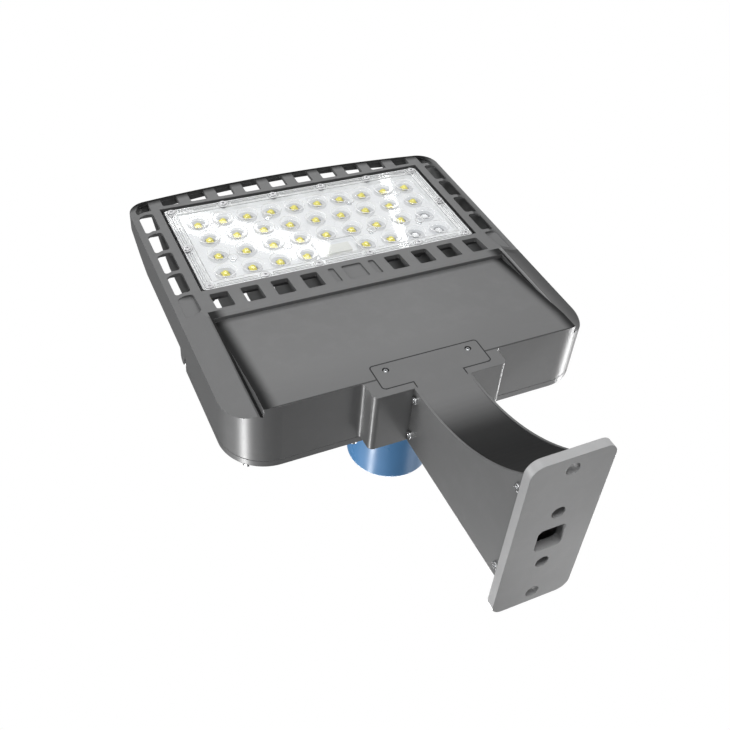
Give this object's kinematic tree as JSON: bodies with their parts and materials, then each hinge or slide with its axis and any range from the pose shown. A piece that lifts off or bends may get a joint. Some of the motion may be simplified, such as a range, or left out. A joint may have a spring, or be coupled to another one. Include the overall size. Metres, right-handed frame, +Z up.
{
  "type": "led street light",
  "caption": "Flat grey LED street light on a short wall arm, with a vented frame round its clear lens plate, a hinged cover over the driver, and a round blue twist-lock photocell on top.",
  "frame": {"origin": "centre of the cable hole and of the inner pair of bolt holes, in the rear face of the wall plate", "axes": "+Y out from the wall along the arm, +Z up, X across; the light shines down, along -Z"},
  "size_m": [0.363, 0.5525, 0.2486],
  "materials": {
    "housing": "grey powder coat on die-cast aluminium",
    "lens_plate": "clear moulded polycarbonate",
    "lens_gasket": "pale silicone sponge",
    "lens_screws": "bright stainless steel",
    "led_board": "white solder mask on an aluminium board",
    "led_chips": "yellow phosphor under silicone",
    "board_screws": "bright stainless steel",
    "board_connector": "off-white nylon",
    "driver": "plain anodised case",
    "driver_screws": "zinc plated",
    "surge_protector": "black moulded case",
    "terminal_block": "off-white nylon",
    "inner_leads": "insulated wire, red and black",
    "duct_grommet": "black silicone",
    "cable_grommet": "black silicone",
    "arm": "grey powder coat on die-cast aluminium",
    "arm_head_screws": "stainless socket screws",
    "arm_front_screws": "stainless pan heads",
    "arm_rear_screws": "stainless pan heads",
    "wall_plate": "grey powder coat on die-cast aluminium",
    "hinge_pins": "ground stainless pins",
    "top_cover": "grey powder coat on die-cast aluminium",
    "cover_gasket": "black silicone cord",
    "cover_screws": "stainless captive screws",
    "socket_seal": "black silicone",
    "socket": "black phenolic moulding",
    "socket_contacts": "plain brass spring contacts",
    "socket_ring": "grey nylon nut",
    "cell_base": "black moulding",
    "cell_seal": "black silicone sponge",
    "cell_blades": "plain brass",
    "cell_cap": "smooth blue polypropylene",
    "cell_window": "smoky clear acrylic",
    "cell_board": "green circuit board"
  },
  "bodies": {
    "light": {"housing": "housing", "lens_plate": "lens_plate", "lens_gasket": "lens_gasket", "lens_screws": "lens_screws", "led_board": "led_board", "led_chips": "led_chips", "board_screws": "board_screws", "board_connector": "board_connector", "driver": "driver", "driver_screws": "driver_screws", "surge_protector": "surge_protector", "terminal_block": "terminal_block", "inner_leads": "inner_leads", "duct_grommet": "duct_grommet", "cable_grommet": "cable_grommet", "arm": "arm", "arm_head_screws": "arm_head_screws", "arm_front_screws": "arm_front_screws", "arm_rear_screws": "arm_rear_screws", "wall_plate": "wall_plate", "hinge_pins": "hinge_pins"},
    "cover": {"top_cover": "top_cover", "cover_gasket": "cover_gasket", "cover_screws": "cover_screws", "socket_seal": "socket_seal"},
    "photocell_socket": {"socket": "socket", "socket_contacts": "socket_contacts", "socket_ring": "socket_ring"},
    "photocell": {"cell_base": "cell_base", "cell_seal": "cell_seal", "cell_blades": "cell_blades", "cell_cap": "cell_cap", "cell_window": "cell_window", "cell_board": "cell_board"}
  },
  "joints": [
    {"name": "cover_hinge", "type": "hinge", "parent": "light", "child": "cover", "pos_m": [0, 0.341, 0.057], "axis": [-1, 0, 0], "range_deg": [0, 95]},
    {"name": "socket_turn", "type": "hinge", "parent": "cover", "child": "photocell_socket", "pos_m": [0, 0.2484, 0.07], "axis": [0, 0, 1], "range_deg": [-175, 175]},
    {"name": "cell_twist", "type": "hinge", "parent": "photocell_socket", "child": "photocell", "pos_m": [0, 0.2484, 0.085], "axis": [0, 0, 1], "range_deg": [0, 15]}
  ]
}
